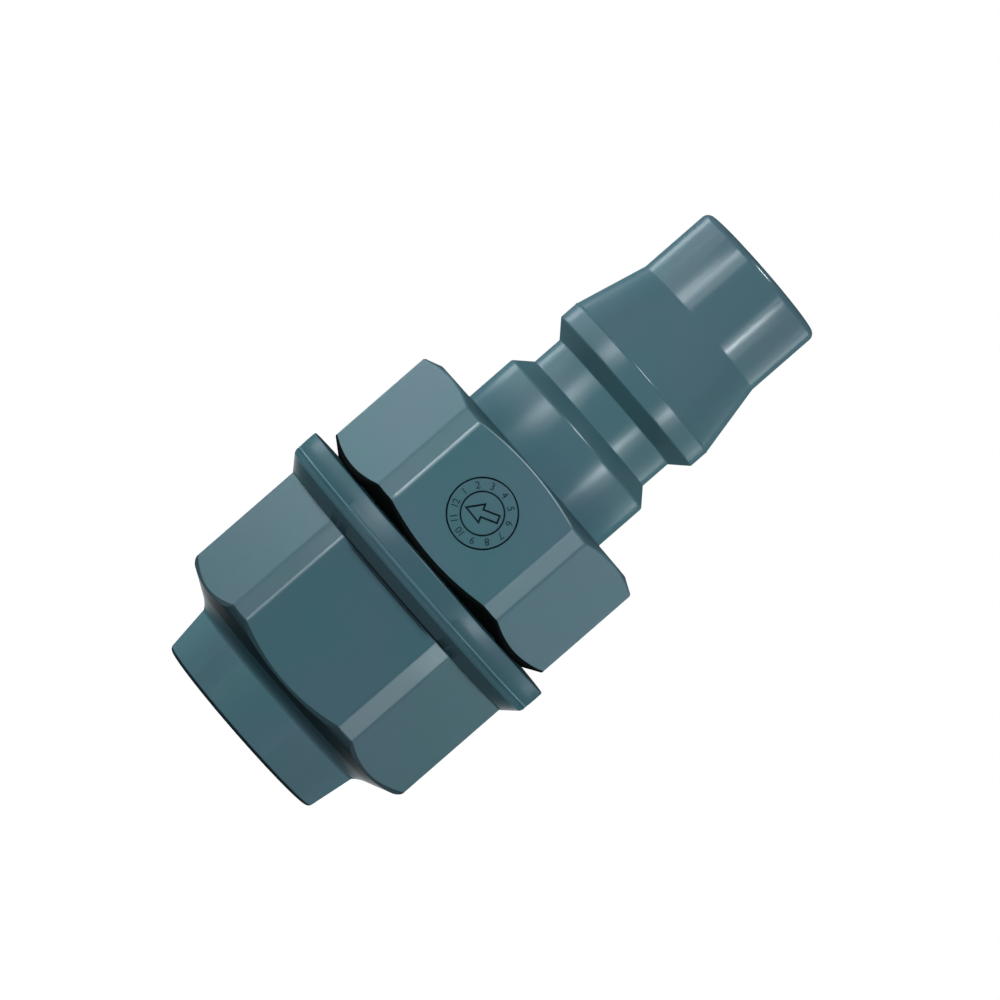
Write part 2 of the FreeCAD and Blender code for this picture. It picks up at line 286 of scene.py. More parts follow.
def linked_object(name, bm, size=1.0):
    """Object of a finished bmesh, scaled about the origin."""
    bmesh.ops.scale(bm, vec=(size, size, size), verts=bm.verts)
    mesh = bpy.data.meshes.new(name)
    bm.to_mesh(mesh)
    bm.free()
    obj = bpy.data.objects.new(name, mesh)
    bpy.context.scene.collection.objects.link(obj)
    return obj


def closed_object(name, bm, size=1.0):
    """Object of a finished, closed bmesh, with its faces turned outwards."""
    bmesh.ops.recalc_face_normals(bm, faces=bm.faces)
    return linked_object(name, bm, size)


def piece(name, bm, body, material, sharp_angle=MOULDING_SHARP_ANGLE):
    """Turns a finished bmesh in millimetres into an object that rides on a body."""
    obj = closed_object(name, bm, MM)
    obj.data.materials.append(material)
    obj.data.shade_smooth()
    obj.data.set_sharp_from_angle(angle=math.radians(sharp_angle))
    even = obj.modifiers.new("even_shading", "WEIGHTED_NORMAL")
    even.keep_sharp = True
    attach(obj, body)
    return obj


def cut(obj, cutter, operation="DIFFERENCE"):
    """Cuts one object out of another for good, or joins it on, and removes the cutter."""
    change = obj.modifiers.new("cut", "BOOLEAN")
    change.operation = operation
    change.solver = "EXACT"
    change.object = cutter
    graph = bpy.context.evaluated_depsgraph_get()
    mesh = bpy.data.meshes.new_from_object(obj.evaluated_get(graph))
    obj.modifiers.remove(change)
    obj.data = mesh
    bpy.data.objects.remove(cutter)


# Shader helpers

class Wire:
    """A value in a finish; sums and products of it add Math nodes."""

    def __init__(self, finish, socket):
        self.finish = finish
        self.socket = socket

    def __add__(self, other):
        return self.finish.maths("ADD", self, other)

    def __radd__(self, other):
        return self.finish.maths("ADD", other, self)

    def __sub__(self, other):
        return self.finish.maths("SUBTRACT", self, other)

    def __rsub__(self, other):
        return self.finish.maths("SUBTRACT", other, self)

    def __mul__(self, other):
        return self.finish.maths("MULTIPLY", self, other)

    def __rmul__(self, other):
        return self.finish.maths("MULTIPLY", other, self)


class Finish:
    """Nodes of a material or of the world."""

    def __init__(self, owner):
        owner.use_nodes = True
        self.nodes = owner.node_tree.nodes
        self.links = owner.node_tree.links
        self.nodes.clear()

    def node(self, kind, settings, sockets, out=0):
        """Adds a node of any type, sets it up, feeds its sockets and gives one output."""
        node = self.nodes.new("ShaderNode" + kind)
        for key, value in settings.items():
            setattr(node, key, value)
        for key, value in sockets.items():
            if isinstance(value, Wire):
                self.links.new(value.socket, node.inputs[key])
            else:
                node.inputs[key].default_value = value
        return Wire(self, node.outputs[out])

    def show(self, kind, shader):
        """Joins a shader to a new output node."""
        out = self.nodes.new("ShaderNode" + kind)
        self.links.new(shader.socket, out.inputs["Surface"])

    def maths(self, operation, a, b):
        """Number worked out of two numbers."""
        return self.node("Math", {"operation": operation}, {0: a, 1: b})

    def greatest(self, first, *others):
        """The greatest of several numbers."""
        for other in others:
            first = self.maths("MAXIMUM", first, other)
        return first

    def measure(self, operation, *vectors):
        """Number worked out of one or two vectors, such as a length or a distance."""
        return self.node("VectorMath", {"operation": operation}, dict(enumerate(vectors)), out="Value")

    def span(self, value, low, high):
        """0 below low, 1 above high, smooth between."""
        return self.node("MapRange", {"interpolation_type": "SMOOTHSTEP"},
                         {"Value": value, "From Min": low, "From Max": high, "To Min": 0.0, "To Max": 1.0})

    def stripe(self, value, rise, fall):
        """Goes up from 0 to 1 over the span rise, and down again over the span fall."""
        return self.span(value, *rise) * (1 - self.span(value, *fall))

    def band(self, value, low, high, soft=0.03):
        """1 between two values, 0 outside, with soft ends."""
        return self.stripe(value, (low - soft, low + soft), (high - soft, high + soft))

    def blend(self, share, first, second):
        """Colour between two colours."""
        return self.node("Mix", {"data_type": "RGBA"}, {0: share, 6: first, 7: second}, out=2)

    def noise(self, place, size, detail):
        """Noise whose blotches are about size millimetres across."""
        return self.node("TexNoise", {"noise_dimensions": "3D"},
                         {"Vector": place, "Scale": 1 / (size * MM), "Detail": detail, "Roughness": 0.5})


def axis_radius(finish, place):
    """Distance from the plug's axis, in millimetres."""
    level = finish.node("VectorMath", {"operation": "MULTIPLY"}, {0: place, 1: (METRE, METRE, 0)})
    return finish.measure("LENGTH", level)


def axis_height(finish, place):
    """Height along the plug's axis, in millimetres."""
    return finish.node("SeparateXYZ", {}, {0: place}, out="Z") * METRE


def outward_of_flat(finish, place, turn):
    """Distance from the axis towards the flat that faces the camera, in millimetres."""
    return finish.measure("DOT_PRODUCT", place, (METRE * math.sin(turn), -METRE * math.cos(turn), 0))


def along_flat(finish, place, turn):
    """Distance across the flat that faces the camera, from its middle, in millimetres."""
    return finish.measure("DOT_PRODUCT", place, (METRE * math.cos(turn), METRE * math.sin(turn), 0))


# Finishes. A pair that is called BAND is the two ends of a band. The other pairs of numbers are the two
# values between which a mark fades in or out.

# Colour of the painted shade in gaps, creases, engraved lines and on faces turned away from the light
PAINTED_SHADE_COLOUR = (0.005, 0.006, 0.006, 1)
PLUG_COLOURS = (0.062, 0.149, 0.172, 1), (0.074, 0.146, 0.179, 1)
NUT_COLOURS = (0.043, 0.116, 0.136, 1), (0.053, 0.113, 0.141, 1)
SLEEVE_COLOURS = (0.62, 0.62, 0.56, 1), (0.70, 0.69, 0.64, 1)
# The mould's parting line is painted paler than the rim, as a painted highlight along its ridge
PARTING_HIGHLIGHT_COLOUR = (0.10, 0.20, 0.23, 1)

# Moulded plastic, with each noise as (size, detail)
CLOUD_NOISE = (7.0, 2.0)
CLOUD_SPAN = (0.35, 0.68)
PATCH_NOISE = (1.3, 3.0)
PATCH_ROUGHNESS = 0.08
GRAIN_NOISE = (0.09, 2.0)
GRAIN_STRENGTH = 0.03
GRAIN_HEIGHT = 0.00001
BODY_ROUGHNESS = 0.6

# Marks on the plug: painted shade on the chamfer behind the flange, in the dial's engraving and on the
# groove's flanks, and changes of gloss
CHAMFER_RISE = 0.527
CHAMFER_END = (15.46, 15.5)
CHAMFER_START_R = (7.1, 7.3)
ENGRAVING_SPAN = (8.32, 8.43)
ENGRAVING_END_R = (2.2, 2.3)
ENGRAVING_SHADE = 0.85
UPPER_FLANK = (29.62, 29.8), (30.55, 30.7)
UPPER_FLANK_SHADE = 0.32
LOWER_FLANK_BAND = (26.85, 27.68)
LOWER_FLANK_SHADE = 0.12
PLUG_EDGE_ENDS = (16.1, 16.4), (22.7, 22.9)
PLUG_EDGE_SHEEN = 0.04
SHOULDER_START = (23.35, 23.4)
SHOULDER_FADE = (23.6, 26.6)
SHOULDER_SHEEN_LOSS = 0.013
NOSE_START = (36.2, 36.6)
BEHIND_NOSE_DULLNESS = 0.05
HEXAGON_DULLNESS = 0.09

# Long edge of both hexagons that is rubbed smooth
WORN_EDGE_HALF = 0.12
WORN_EDGE_SOFTNESS = 0.05
WORN_EDGE_FRONT = (8.1, 8.2)

# Marks on the nut: painted shade and a painted shadow, a painted highlight on the parting line, and changes
# of gloss
OUTSIDE_SPAN = (8.2, 8.4)
FOOT_LINE_BAND = (FLANGE_Z - 0.05, FLANGE_Z + 0.1)
FOOT_LINE_FRONT = (8.15, 8.45)
FOOT_LINE_SHADE = 0.85
FOOT_SHADE = (FLANGE_Z - 0.55, FLANGE_Z), (12.6, 12.7)
FOOT_SHADE_DARKNESS = 0.4
FOOT_SHADE_FRONT = (7.7, 8.1)
FOOT_SHADE_END_R = (9.0, 9.3)
CONE_BAND = (FLANGE_Z - 0.06, 13.24)
CONE_SHADE = 0.5
VALLEY_BAND = (13.54, 13.68)
VALLEY_SHADE = 0.25
FLARE_START_R = (6.76, 6.95)
FLARE_EDGE_RISE = 0.72
FLARE_EDGE = (4.26, 4.3)
FLARE_END = (5.2, 5.3)
FLARE_SHADE = 0.74
FLARE_BEYOND = (0.1, 0.13)
FLARE_BEYOND_SHADE = 0.09
FLARE_FOOT_END = (4.15, 4.3)
FLARE_FOOT_SHADE = 0.3
COLLAR_EDGE_END = (0.17, 0.22)
COLLAR_EDGE_R = (5.95, 6.05)
COLLAR_EDGE_SHADE = 0.85
RIM_START_R = (10.1, 10.2)
PARTING_BAND = (PARTING_Z - 0.06, PARTING_Z + 0.04)
PARTING_SOFTNESS = 0.02
COLLAR_END = (3.0, 3.1)
COLLAR_DULLNESS = 0.2
CONE_SHEEN_BAND = (FLANGE_Z, 13.3)
CONE_SHEEN_R = (9.5, 9.6)
FLARE_SHEEN_BAND = (3.2, 4.6)
FLARE_SHEEN_SOFTNESS = 0.1
FLARE_SHEEN_R = (6.8, 6.95)
GLANCE_IOR = 1.4
GLANCE_SPAN = (0.1, 0.9)
GLANCE_SHEEN = 0.3
COLLAR_SHEEN_BAND = (0.25, 3.0)
COLLAR_SHEEN_SOFTNESS = 0.05
COLLAR_SHEEN = 0.003
NUT_EDGE_ENDS = (4.9, 5.2), (12.4, 12.5)
NUT_EDGE_SHEEN = 0.015
RIM_SHEEN_LOSS = 0.006


def plug_grime(finish, place):
    """Painted shade on the chamfer behind the flange, on the flanks of the locking groove and in the dial's
    engraved lines.
    """
    radius = axis_radius(finish, place)
    height = axis_height(finish, place)
    above = height - (radius - FLAT_R) * CHAMFER_RISE
    # Painted shade on the chamfer in the gap between the flange and the hexagon
    gap = (1 - finish.span(above, *CHAMFER_END)) * finish.span(radius, *CHAMFER_START_R)
    turn = math.radians(PLUG_HEX_TURN)
    middle = (math.sin(turn) * FLAT_R * MM, -math.cos(turn) * FLAT_R * MM, DIAL_Z * MM)
    away = finish.measure("DISTANCE", place, middle) * METRE
    # Painted shade in the dial's engraved lines
    sunk = 1 - finish.span(outward_of_flat(finish, place, turn), *ENGRAVING_SPAN)
    engraved = sunk * (1 - finish.span(away, *ENGRAVING_END_R)) * ENGRAVING_SHADE
    # Painted shade on both flanks of the locking groove
    flanks = finish.stripe(height, *UPPER_FLANK) * UPPER_FLANK_SHADE
    flanks = flanks + finish.band(height, *LOWER_FLANK_BAND) * LOWER_FLANK_SHADE
    return finish.greatest(gap, engraved, flanks)


def worn_edge(finish, place, turn):
    """1 along one long edge of the flat that faces the camera, where the plastic is rubbed smooth."""
    across = along_flat(finish, place, turn)
    front = finish.span(outward_of_flat(finish, place, turn), *WORN_EDGE_FRONT)
    edge = finish.band(across, -FLAT_EDGE - WORN_EDGE_HALF, -FLAT_EDGE + WORN_EDGE_HALF, WORN_EDGE_SOFTNESS)
    return edge * front


def plug_sheen(finish, place):
    """One edge of the hexagon is rubbed smooth, and the shoulder loses its gloss towards the hexagon."""
    height = axis_height(finish, place)
    on_hexagon = finish.stripe(height, *PLUG_EDGE_ENDS)
    on_shoulder = finish.stripe(height, SHOULDER_START, SHOULDER_FADE)
    worn = worn_edge(finish, place, math.radians(PLUG_HEX_TURN)) * on_hexagon
    return worn * PLUG_EDGE_SHEEN - on_shoulder * SHOULDER_SHEEN_LOSS


def plug_dullness(finish, place):
    """The nose is the smoothest and the hexagon the dullest."""
    height = axis_height(finish, place)
    behind_nose = 1 - finish.span(height, *NOSE_START)
    hexagon = 1 - finish.span(height, *SHOULDER_START)
    return behind_nose * BEHIND_NOSE_DULLNESS + hexagon * HEXAGON_DULLNESS


def nut_grime(finish, place):
    """Painted shade: a black line and a shadow at the flange's foot, the flange cone, the rim's valley, the
    flare and the collar's end edge.
    """
    radius = axis_radius(finish, place)
    height = axis_height(finish, place)
    front = outward_of_flat(finish, place, 0.0)
    outside = finish.span(radius, *OUTSIDE_SPAN)
    # A black painted line of shade in the crease at the flange's foot, and the flange's painted shadow on the
    # front flat
    line = finish.band(height, *FOOT_LINE_BAND) * finish.span(front, *FOOT_LINE_FRONT) * FOOT_LINE_SHADE
    beside = finish.stripe(height, *FOOT_SHADE) * FOOT_SHADE_DARKNESS
    on_front = finish.span(front, *FOOT_SHADE_FRONT) * (1 - finish.span(radius, *FOOT_SHADE_END_R))
    # Painted shade on the flange cone, in the rim's valley, on the flare and its foot, and on the collar's
    # end edge
    cone = finish.band(height, *CONE_BAND) * outside * CONE_SHADE
    valley = finish.band(height, *VALLEY_BAND) * outside * VALLEY_SHADE
    off_collar = finish.span(radius, *FLARE_START_R)
    above = height - (radius - FLAT_R) * FLARE_EDGE_RISE
    flare = off_collar * (1 - finish.span(above, *FLARE_EDGE)) * (1 - finish.span(height, *FLARE_END))
    beyond = finish.span(height - radius * FLARE_SLOPE, *FLARE_BEYOND)
    foot = off_collar * (1 - finish.span(height, *FLARE_FOOT_END)) * FLARE_FOOT_SHADE
    at_end = 1 - finish.span(height, *COLLAR_EDGE_END)
    edge = at_end * finish.span(radius, *COLLAR_EDGE_R) * COLLAR_EDGE_SHADE
    return finish.greatest(line, beside * on_front, cone, valley,
                           flare * (FLARE_SHADE - beyond * FLARE_BEYOND_SHADE), foot, edge)


def parting_line(finish, place):
    """1 on the mould's parting line, which is painted paler than the rim as a painted highlight along its
    ridge.
    """
    radius = axis_radius(finish, place)
    height = axis_height(finish, place)
    return finish.band(height, *PARTING_BAND, PARTING_SOFTNESS) * finish.span(radius, *RIM_START_R)


def nut_dullness(finish, place):
    """The collar is duller than the rest of the nut."""
    return (1 - finish.span(axis_height(finish, place), *COLLAR_END)) * COLLAR_DULLNESS


def nut_sheen(finish, place):
    """The cones shine at a glance, the collar and the rubbed edge shine more, and the rim shines less."""
    radius = axis_radius(finish, place)
    height = axis_height(finish, place)
    cone = finish.band(height, *CONE_SHEEN_BAND) * finish.span(radius, *CONE_SHEEN_R)
    flare = finish.band(height, *FLARE_SHEEN_BAND, FLARE_SHEEN_SOFTNESS) * finish.span(radius, *FLARE_SHEEN_R)
    collar = finish.band(height, *COLLAR_SHEEN_BAND, COLLAR_SHEEN_SOFTNESS) * COLLAR_SHEEN
    on_hexagon = finish.stripe(height, *NUT_EDGE_ENDS)
    worn = worn_edge(finish, place, math.radians(NUT_HEX_TURN)) * on_hexagon * NUT_EDGE_SHEEN
    rim = finish.span(radius, *RIM_START_R) * RIM_SHEEN_LOSS
    glance = finish.span(finish.node("Fresnel", {}, {"IOR": GLANCE_IOR}), *GLANCE_SPAN)
    return finish.greatest(cone, flare) * glance * GLANCE_SHEEN + collar + worn - rim


def moulded_plastic(name, colours, roughness, gloss, painted_shade=None, dullness=None, line=None, sheen=None):
    """Satin moulded plastic: soft flow blotches, a fine grain, an even, faint gloss, painted shade and a
    painted highlight line.
    """
    material = bpy.data.materials.new(name)
    finish = Finish(material)
    place = finish.node("TexCoord", {}, {}, out="Object")
    cloud = finish.noise(place, *CLOUD_NOISE)
    patch = finish.noise(place, *PATCH_NOISE)
    grain = finish.noise(place, *GRAIN_NOISE)
    colour = finish.blend(finish.span(cloud, *CLOUD_SPAN), *colours)
    shine = gloss
    # Painted highlight: the given line is painted paler than the body
    if line:
        colour = finish.blend(line(finish, place), colour, PARTING_HIGHLIGHT_COLOUR)
    # Painted shade: the colour is darkened towards the painted shade colour, and the gloss drops with it
    if painted_shade:
        shade_mask = painted_shade(finish, place)
        colour = finish.blend(shade_mask, colour, PAINTED_SHADE_COLOUR)
        shine = gloss * (1 - shade_mask)
    if sheen:
        shine = shine + sheen(finish, place)
    rough = roughness + (patch - 0.5) * PATCH_ROUGHNESS
    if dullness:
        rough = rough + dullness(finish, place)
    bump = finish.node("Bump", {}, {"Strength": GRAIN_STRENGTH, "Distance": GRAIN_HEIGHT, "Height": grain})
    body = finish.node("BsdfPrincipled", {}, {
        "Base Color": colour,
        "Roughness": BODY_ROUGHNESS,
        "Specular IOR Level": 0.0,
        "Normal": bump,
    })
    skin = finish.node("BsdfGlossy", {}, {"Color": (1, 1, 1, 1), "Roughness": rough, "Normal": bump})
    finish.show("OutputMaterial", finish.node("MixShader", {}, {0: shine, 1: body, 2: skin}))
    return material


plug_plastic = moulded_plastic("plug_plastic", PLUG_COLOURS, roughness=0.19, gloss=0.015, painted_shade=plug_grime,
                               dullness=plug_dullness, sheen=plug_sheen)
nut_plastic = moulded_plastic("nut_plastic", NUT_COLOURS, roughness=0.31, gloss=0.018, painted_shade=nut_grime,
                              dullness=nut_dullness, line=parting_line, sheen=nut_sheen)
sleeve_plastic = moulded_plastic("sleeve_plastic", SLEEVE_COLOURS, roughness=0.42, gloss=0.03)


# Pieces

def nut_moulding():
    """Collar, flared hexagon and flange of the nut, and the passage through it."""
    bm = bmesh.new()
    outline(bm, [
        # Collar
        (5.55, 0, 0.08),
        (COLLAR_END_R, 0, 0.28),
        (COLLAR_ROOT_R, COLLAR_TOP_Z, 0.12),
        # Flare and hexagon, with rings close together at the flange's foot for its groove
        (FLARE_BEND_R, FLARE_BEND_Z, 1.8),
        (CORNER_R, FLARE_CORNER_Z, FLARE_CORNER_RADIUS),
        (CORNER_R, FLARE_CORNER_Z + 0.6, 0),
        (CORNER_R, 7.0, 0),
        (CORNER_R, 10.0, 0),
        (CORNER_R, FLANGE_Z - 0.17, 0),
        (CORNER_R, FLANGE_Z - 0.11, 0),
        (CORNER_R, FLANGE_Z - 0.05, 0),
        (CORNER_R, FLANGE_Z, 0),
        # Flange: cone, rim with the valley and the parting line, and flat top
        (CORNER_R + 0.04, FLANGE_Z + 0.01, 0),
        (RIM_R, FLANGE_CONE_Z, 0.5),
        (RIM_R - 0.01, PARTING_Z - 0.14, 0),
        (RIM_R - 0.05, PARTING_Z - 0.1, 0),
        (RIM_R, PARTING_Z - 0.04, 0),
        (RIM_R, PARTING_Z, 0),
        (RIM_R - 0.04, PARTING_Z + 0.08, 0),
        (RIM_R - 0.01, PARTING_Z + 0.13, 0),
        (RIM_R, 14.4, 0),
        (RIM_R - 0.01, NUT_TOP_Z, 0.08),
        (7.5, NUT_TOP_Z, 0.08),
        # Bore for the thread, with a relief groove below it
        (NUT_BORE_R, 14.65, 0),
        (NUT_BORE_R, 8.1, 0),
        (7.3, 7.95, 0),
        (7.3, 6.95, 0),
        # Lip, and the groove and cone seat of the sleeve
        (6.15, 6.95, 0.05),
        (6.15, 6.55, 0.05),
        (6.55, 6.55, 0),
        (6.55, 4.9, 0),
        # Hose passage
        (HOSE_PASSAGE_R, 3.5, 0.2),
        (HOSE_PASSAGE_R, 0.4, 0.3),
    ])
    turned(bm, NUT_HEX_TURN)
    squeeze_z = FLARE_BEND_Z + (FLARE_SQUEEZE_R - FLARE_BEND_R) * FLARE_SLOPE
    low = HexEnd(FLARE_SQUEEZE_R, squeeze_z, FLARE_CORNER_Z, FLARE_CORNER_RADIUS)
    high = HexEnd(0.0, FLANGE_Z, FLANGE_Z, 0.0)
    press_flats(bm, NUT_HEX_TURN, low, high, FLARE_SQUEEZE_R, NUT_EDGE_SOFTNESS)
    groove_foot(bm)
    step_parting(bm)
    return bm


def groove_foot(bm):
    """Shallow groove where the front flat meets the flange, running out at the corner strips."""
    for vert in bm.verts:
        r = math.hypot(vert.co.x, vert.co.y)
        on_front = r > FOOT_GROOVE_START_R and vert.co.y < FOOT_GROOVE_FRONT_Y
        if on_front and abs(vert.co.z - FOOT_GROOVE_Z) < FOOT_GROOVE_REACH:
            depth = FOOT_GROOVE_DEPTH * clamp((CORNER_R - r) / FOOT_GROOVE_RUNOUT)
            vert.co.x *= 1 - depth / r
            vert.co.y *= 1 - depth / r


def step_parting(bm):
    """Steps the mould's parting line up over a part of the rim."""
    first, last = PARTING_STEP_ANGLES
    for vert in bm.verts:
        on_rim = math.hypot(vert.co.x, vert.co.y) > PARTING_STEP_START_R
        if on_rim and abs(vert.co.z - PARTING_Z) < PARTING_STEP_REACH:
            angle = math.degrees(math.atan2(vert.co.y, vert.co.x))
            inside = clamp((angle - first) / PARTING_STEP_RAMP) * clamp((last - angle) / PARTING_STEP_RAMP)
            vert.co.z += PARTING_STEP * inside


def plug_moulding():
    """Nose, hexagon, spigot, hose pocket and stem of the plug."""
    bm = bmesh.new()
    outline(bm, [
        # Hose stem with its bulge
        (STEM_BORE_R, STEM_TIP_Z, 0.08),
        (2.9, STEM_TIP_Z, 0.15),
        (STEM_BULGE_R, 5.4, 0.3),
        (STEM_R, 6.6, 0.5),
        (STEM_R, HOSE_POCKET_TOP_Z, 0.5),
        # Hose pocket with its mouth
        (HOSE_PASSAGE_R, HOSE_POCKET_TOP_Z, 0.5),
        (HOSE_PASSAGE_R, 10.5, 0.3),
        (5.75, SPIGOT_MOUTH_Z, 0.08),
        # Spigot
        (6.2, SPIGOT_MOUTH_Z, 0),
        (SPIGOT_CORE_R, SPIGOT_MOUTH_Z + 0.05, 0),
        (SPIGOT_CORE_R, 14.0, 0.1),
        (6.1, 14.2, 0.1),
        (6.1, HEX_BASE_Z, 0.2),
        # Hexagon
        (HEX_FACE_R, HEX_BASE_Z, 0),
        (CORNER_R, HEX_LOW_CORNER_Z, HEX_LOW_ROUNDING),
        (CORNER_R, HEX_LOW_CORNER_Z + 0.15, 0),
        (CORNER_R, 17.5, 0),
        (CORNER_R, 19.4, 0),
        (CORNER_R, 21.3, 0),
        (CORNER_R, HEX_HIGH_CORNER_Z - 0.2, 0),
        (CORNER_R, HEX_HIGH_CORNER_Z, HEX_HIGH_ROUNDING),
        (HEX_FACE_R, HEX_TOP_Z, 0),
        (7.2, HEX_TOP_Z, 0),
        # Shoulder and locking groove
        (SHOULDER_R, HEX_TOP_Z, 0.12),
        (SHOULDER_R, SHOULDER_TOP_Z, 0.25),
        (NECK_R, 27.73, 0),
        (NECK_R, 29.69, 0.08),
        # Land, with a small bead where the taper starts
        (LAND_R, 30.68, 0.1),
        (LAND_R, 31.82, 0),
        (LAND_R, 31.84, 0),
        (5.94, 31.87, 0),
        (5.94, 31.91, 0),
        (5.90, 31.95, 0),
        (5.89, 32.0, 0),
        # Taper's end, nose and flow bore
        (NOSE_R, 36.47, 0.5),
        (NOSE_R, NOSE_TIP_Z, 0.45),
        (3.55, NOSE_TIP_Z, 0.08),
        (FLOW_BORE_R, 41.15, 0.08),
        (FLOW_BORE_R, 21.95, 0.5),
        (STEM_BORE_R, 20.305, 0.5),
    ])
    turned(bm, PLUG_HEX_TURN)
    low = HexEnd(HEX_FACE_R, HEX_BASE_Z, HEX_LOW_CORNER_Z, HEX_LOW_ROUNDING, on_flats=True)
    high = HexEnd(HEX_FACE_R, HEX_TOP_Z, HEX_HIGH_CORNER_Z, HEX_HIGH_ROUNDING, on_flats=True)
    press_flats(bm, PLUG_HEX_TURN, low, high, HEX_FACE_R + SAME_POINT, PLUG_EDGE_SOFTNESS)
    return bm


def thread_ridge(root_r, crest_r, last_z, phase):
    """Helical ridge of a thread, whose ends thin until they are under the surface that carries it."""
    bm = bmesh.new()
    foot = THREAD_CREST / 2 + THREAD_FLANK
    middle = THREAD_START_Z + THREAD_PITCH * phase
    section = [
        bm.verts.new((root_r, 0, middle - foot)),
        bm.verts.new((crest_r, 0, middle - THREAD_CREST / 2)),
        bm.verts.new((crest_r, 0, middle + THREAD_CREST / 2)),
        bm.verts.new((root_r, 0, middle + foot)),
    ]
    face = bm.faces.new(section)
    steps = int((last_z - middle) / THREAD_PITCH * THREAD_STEPS)
    bmesh.ops.spin(bm, geom=[face] + section + list(face.edges), cent=(0, 0, 0), axis=(0, 0, 1), steps=steps,
                   dvec=(0, 0, THREAD_PITCH / THREAD_STEPS), angle=2 * math.pi * steps / THREAD_STEPS)
    for k, vert in enumerate(bm.verts):
        step = k // len(section)
        full = max(THREAD_END, min(1.0, step / THREAD_RUNOUT_STEPS, (steps - step) / THREAD_RUNOUT_STEPS))
        r = math.hypot(vert.co.x, vert.co.y)
        ratio = (root_r + (r - root_r) * full) / r
        vert.co.x *= ratio
        vert.co.y *= ratio
    return bm


def dial_place():
    """Matrix from the dial's own plane to the flat of the hexagon that faces the camera, in millimetres."""
    turn = Matrix.Rotation(math.radians(PLUG_HEX_TURN), 4, "Z")
    stand = Matrix.Rotation(math.radians(90), 4, "X")
    return turn @ Matrix.Translation((0, -FLAT_R, DIAL_Z)) @ stand


def round_bar(radius, length):
    """Round bar on the Z axis, with the origin in its middle."""
    bm = bmesh.new()
    bmesh.ops.create_cone(bm, cap_ends=True, segments=DIAL_STEPS, radius1=radius, radius2=radius,
                          depth=length)
    return bm


def dial_pocket():
    """Cutter for the round pocket that the dial sits in, in metres."""
    bm = round_bar(DIAL_POCKET_R, 2 * DIAL_POCKET_DEPTH)
    bmesh.ops.transform(bm, matrix=dial_place(), verts=bm.verts)
    return closed_object("dial_pocket", bm, MM)


def arrow(name, grow, low, high):
    """Arrow with a straight shaft, made bigger by grow all round, between two heights."""
    width, length = ARROW_SHAFT
    middle = (low + high) / 2
    bm = bmesh.new()
    bmesh.ops.create_cube(bm, size=1.0)
    bmesh.ops.scale(bm, vec=(width + 2 * grow, length + 2 * grow, high - low), verts=bm.verts)
    bmesh.ops.translate(bm, vec=(0, ARROW_SHAFT_Y, middle), verts=bm.verts)
    shaft = closed_object(name, bm)
    head_r = ARROW_HEAD_R + 2 * grow
    bm = bmesh.new()
    bmesh.ops.create_cone(bm, cap_ends=True, segments=3, radius1=head_r, radius2=head_r, depth=high - low,
                          matrix=Matrix.Translation((0, ARROW_HEAD_Y, middle)))
    cut(shaft, closed_object("arrow_head", bm), "UNION")
    return shaft


def ring_groove():
    """Cutter for the ring groove in the dial's face."""
    inner_r, outer_r = DIAL_RING
    floor_z = -DIAL_SINK - DIAL_RING_DEPTH
    bm = bmesh.new()
    outline(bm, [(inner_r, floor_z, 0), (outer_r, floor_z, 0), (outer_r, CUTTER_RISE, 0),
                 (inner_r, CUTTER_RISE, 0)])
    bmesh.ops.spin(bm, geom=list(bm.verts) + list(bm.edges), cent=(0, 0, 0), axis=(0, 0, 1),
                   angle=2 * math.pi, steps=DIAL_RING_STEPS, use_merge=True)
    return closed_object("ring_groove", bm)


def number_cutter(number):
    """Cutter for one month's number, upright on the dial's edge."""
    curve = bpy.data.curves.new("month", "FONT")
    curve.body = str(number)
    curve.size = MONTH_SIZE
    curve.space_character = MONTH_SPACING
    curve.extrude = MONTH_DEPTH
    curve.resolution_u = MONTH_CURVE_STEPS
    curve.align_x = "CENTER"
    curve.align_y = "CENTER"
    text = bpy.data.objects.new("month", curve)
    bpy.context.scene.collection.objects.link(text)
    graph = bpy.context.evaluated_depsgraph_get()
    bm = bmesh.new()
    bm.from_mesh(bpy.data.meshes.new_from_object(text.evaluated_get(graph)))
    bpy.data.objects.remove(text)
    bmesh.ops.remove_doubles(bm, verts=bm.verts, dist=SAME_POINT)
    turn = Matrix.Rotation(math.radians(-360 / MONTHS * number), 4, "Z")
    bmesh.ops.transform(bm, matrix=turn @ Matrix.Translation((0, MONTH_R, -DIAL_SINK)), verts=bm.verts)
    return closed_object("month", bm)


def dial_disc():
    """Disc with month numbers, a ring groove and the moat of the arrow, in its own plane."""
    bm = round_bar(DIAL_R, DIAL_POCKET_DEPTH - DIAL_SINK)
    bmesh.ops.translate(bm, vec=(0, 0, -(DIAL_POCKET_DEPTH + DIAL_SINK) / 2), verts=bm.verts)
    rim = [edge for edge in bm.edges if all(vert.co.z > -DIAL_SINK - SAME_POINT for vert in edge.verts)]
    bmesh.ops.bevel(bm, geom=rim, offset=DIAL_EDGE, offset_type="OFFSET", segments=DIAL_EDGE_STEPS,
                    profile=0.5, affect="EDGES", material=-1)
    disc = closed_object("date_dial", bm)
    cut(disc, ring_groove())
    for number in range(1, MONTHS + 1):
        cut(disc, number_cutter(number))
    cut(disc, arrow("arrow_moat", ARROW_MOAT, -DIAL_SINK - ARROW_MOAT_DEPTH, CUTTER_RISE))
    return disc


